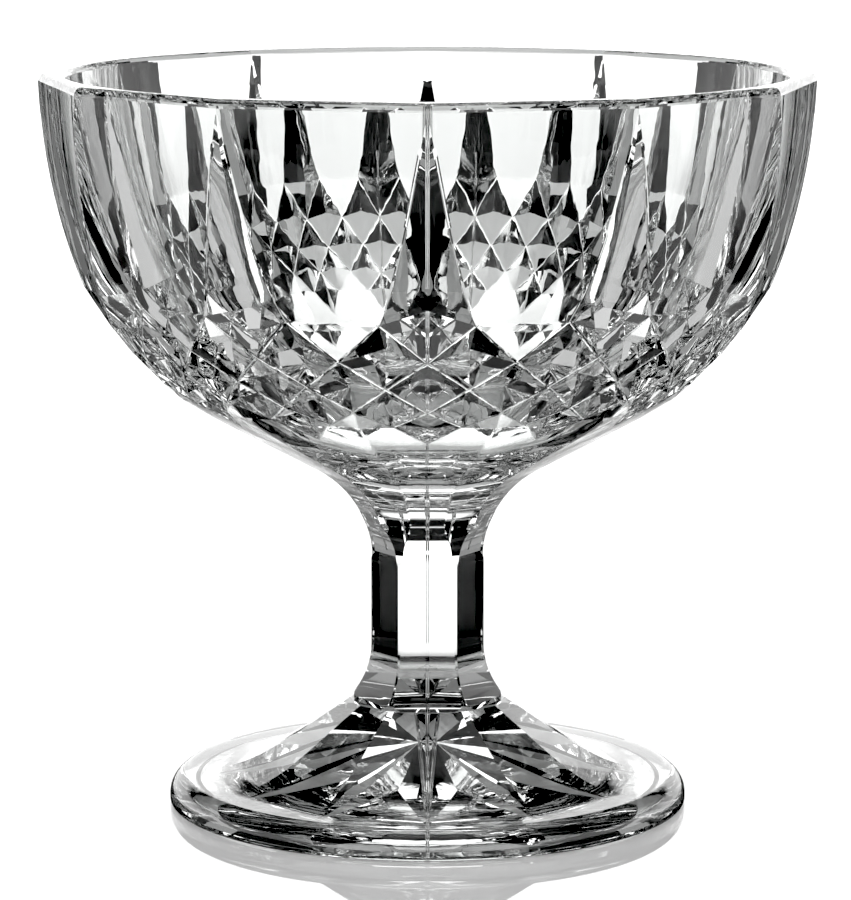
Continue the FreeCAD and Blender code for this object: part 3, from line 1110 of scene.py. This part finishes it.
@dataclass(frozen=True)
class Studio:
    """The white floor, the pale surround, the dark cards, the lamp and the camera.

    The floor glows evenly outside a painted shade under the foot. The foot shade numbers are the
    radius where the dimmer, painted part under the foot ends, the radius where the full glow
    starts, and the dimmer part's share of it. Each stop of the sky is the upward share of a
    direction and its brightness.
    """

    floor_radius: float = 6.0
    floor_segments: int = 96
    floor_drop: float = 0.0002
    floor_grey: float = 0.86
    floor_roughness: float = 0.02
    floor_index: float = 1.9
    floor_glow: float = 0.28
    # Painted shade under the foot: where it ends, where the full glow starts, and its share of
    # the glow.
    painted_foot_shade: tuple[float, float, float] = (0.0355, 0.0385, 0.5)
    lamp_place: tuple[float, float, float] = (0.0, 0.2, 1.6)
    lamp_aim: tuple[float, float, float] = (0.0, 0.0, 0.05)
    lamp_size: float = 1.2
    lamp_power: float = 1.5
    camera_distance: float = 0.5995
    camera_height: float = 0.1505
    pitch_down: float = 9.4
    focal_px: float = 4214.0
    frame_px: tuple[int, int] = (851, 900)
    middle_px: tuple[float, float] = (427.5, 450.0)
    sensor_mm: float = 36.0
    clip_start: float = 0.01
    black_level: float = 0.04
    glass_bounces: int = 32
    gloss_bounces: int = 16
    sky: tuple[tuple[float, float], ...] = (
        (0.0, 2.0),
        (0.30, 2.0),
        (0.36, 0.03),
        (0.90, 0.03),
        (0.94, 0.9),
        (1.0, 0.9),
    )
    flags: tuple[Flag, ...] = STAGE_FLAGS

    def floor_material(self) -> bpy.types.Material:
        """Makes the floor's finish: white, glossy and lit from within, with painted shade under
        the foot.

        Returns:
            The material.
        """
        material = bpy.data.materials.new("white_floor")
        material.use_nodes = True
        nodes = material.node_tree.nodes
        links = material.node_tree.links
        shader = nodes["Principled BSDF"]
        grey = self.floor_grey
        shader.inputs["Base Color"].default_value = (grey, grey, grey, 1.0)
        shader.inputs["Roughness"].default_value = self.floor_roughness
        shader.inputs["IOR"].default_value = self.floor_index
        shader.inputs["Emission Strength"].default_value = self.floor_glow
        place = nodes.new("ShaderNodeTexCoord")
        length = nodes.new("ShaderNodeVectorMath")
        length.operation = "LENGTH"
        # Painted shade: the floor's glow falls to a share of itself in a disc under the foot.
        spread = nodes.new("ShaderNodeMapRange")
        spread.interpolation_type = "SMOOTHSTEP"
        spread.inputs["From Min"].default_value = self.painted_foot_shade[0]
        spread.inputs["From Max"].default_value = self.painted_foot_shade[1]
        spread.inputs["To Min"].default_value = self.painted_foot_shade[2]
        links.new(place.outputs["Object"], length.inputs[0])
        links.new(length.outputs["Value"], spread.inputs["Value"])
        links.new(spread.outputs["Result"], shader.inputs["Emission Color"])
        return material

    def add_floor(self) -> None:
        """Adds a wide round floor just under the foot."""
        mesh = bmesh.new()
        bmesh.ops.create_circle(
            mesh, cap_ends=True, segments=self.floor_segments, radius=self.floor_radius
        )
        data = bpy.data.meshes.new("floor")
        mesh.to_mesh(data)
        mesh.free()
        data.materials.append(self.floor_material())
        floor = bpy.data.objects.new("floor", data)
        floor.location.z = -self.floor_drop
        bpy.context.scene.collection.objects.link(floor)

    def add_surround(self) -> None:
        """Adds a surround that is white near the horizon, dark above it, bright overhead."""
        world = bpy.data.worlds.new("surround")
        world.use_nodes = True
        bpy.context.scene.world = world
        nodes = world.node_tree.nodes
        links = world.node_tree.links
        background = nodes["Background"]
        background.inputs["Strength"].default_value = 1.0
        place = nodes.new("ShaderNodeTexCoord")
        parts = nodes.new("ShaderNodeSeparateXYZ")
        ramp = nodes.new("ShaderNodeValToRGB")
        stops = ramp.color_ramp.elements
        for index, (_, level) in ((0, self.sky[0]), (1, self.sky[-1])):
            stops[index].color = (level, level, level, 1.0)
        for position, level in self.sky[1:-1]:
            stops.new(position).color = (level, level, level, 1.0)
        links.new(place.outputs["Generated"], parts.inputs["Vector"])
        links.new(parts.outputs["Z"], ramp.inputs["Fac"])
        links.new(ramp.outputs["Color"], background.inputs["Color"])

    def add_lamp(self) -> None:
        """Adds a large soft lamp over the glass."""
        data = bpy.data.lights.new("top_light", "AREA")
        data.shape = "SQUARE"
        data.size = self.lamp_size
        data.energy = self.lamp_power
        lamp = bpy.data.objects.new("top_light", data)
        lamp.location = self.lamp_place
        aim = Vector(self.lamp_aim) - Vector(self.lamp_place)
        lamp.rotation_euler = aim.to_track_quat("-Z", "Y").to_euler()
        bpy.context.scene.collection.objects.link(lamp)

    def add_camera(self) -> None:
        """Adds the camera, where the photograph's view puts it."""
        data = bpy.data.cameras.new("camera")
        width, height = self.frame_px
        longest = max(width, height)
        data.sensor_fit = "AUTO"
        data.sensor_width = self.sensor_mm
        data.lens = self.focal_px / longest * self.sensor_mm
        data.shift_x = (width / 2 - self.middle_px[0]) / longest
        data.shift_y = (self.middle_px[1] - height / 2) / longest
        data.clip_start = self.clip_start
        camera = bpy.data.objects.new("camera", data)
        camera.location = (0, -self.camera_distance, self.camera_height)
        camera.rotation_euler = (math.radians(90 - self.pitch_down), 0, 0)
        bpy.context.scene.collection.objects.link(camera)
        bpy.context.scene.camera = camera

    def build(self) -> None:
        """Sets up the stage, and how dark its blacks are and how far light goes in glass."""
        self.add_floor()
        self.add_surround()
        for flag in self.flags:
            flag.build()
        self.add_lamp()
        self.add_camera()
        scene = bpy.context.scene
        scene.view_settings.view_transform = "Standard"
        scene.view_settings.use_curve_mapping = True
        scene.view_settings.curve_mapping.black_level = (self.black_level,) * 3
        scene.cycles.max_bounces = self.glass_bounces
        scene.cycles.transmission_bounces = self.glass_bounces
        scene.cycles.glossy_bounces = self.gloss_bounces


def main() -> None:
    """Builds the glass and its studio."""
    logging.basicConfig(level=logging.INFO, format="%(name)s: %(message)s")
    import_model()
    glass = PressedGlass()
    piece = glass.build(ClearGlass().build())
    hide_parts("dessert_glass")
    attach(piece, "root")
    LOG.info("%s stands for the CAD glass", piece.name)
    Studio().build()


if __name__ == "__main__":
    main()
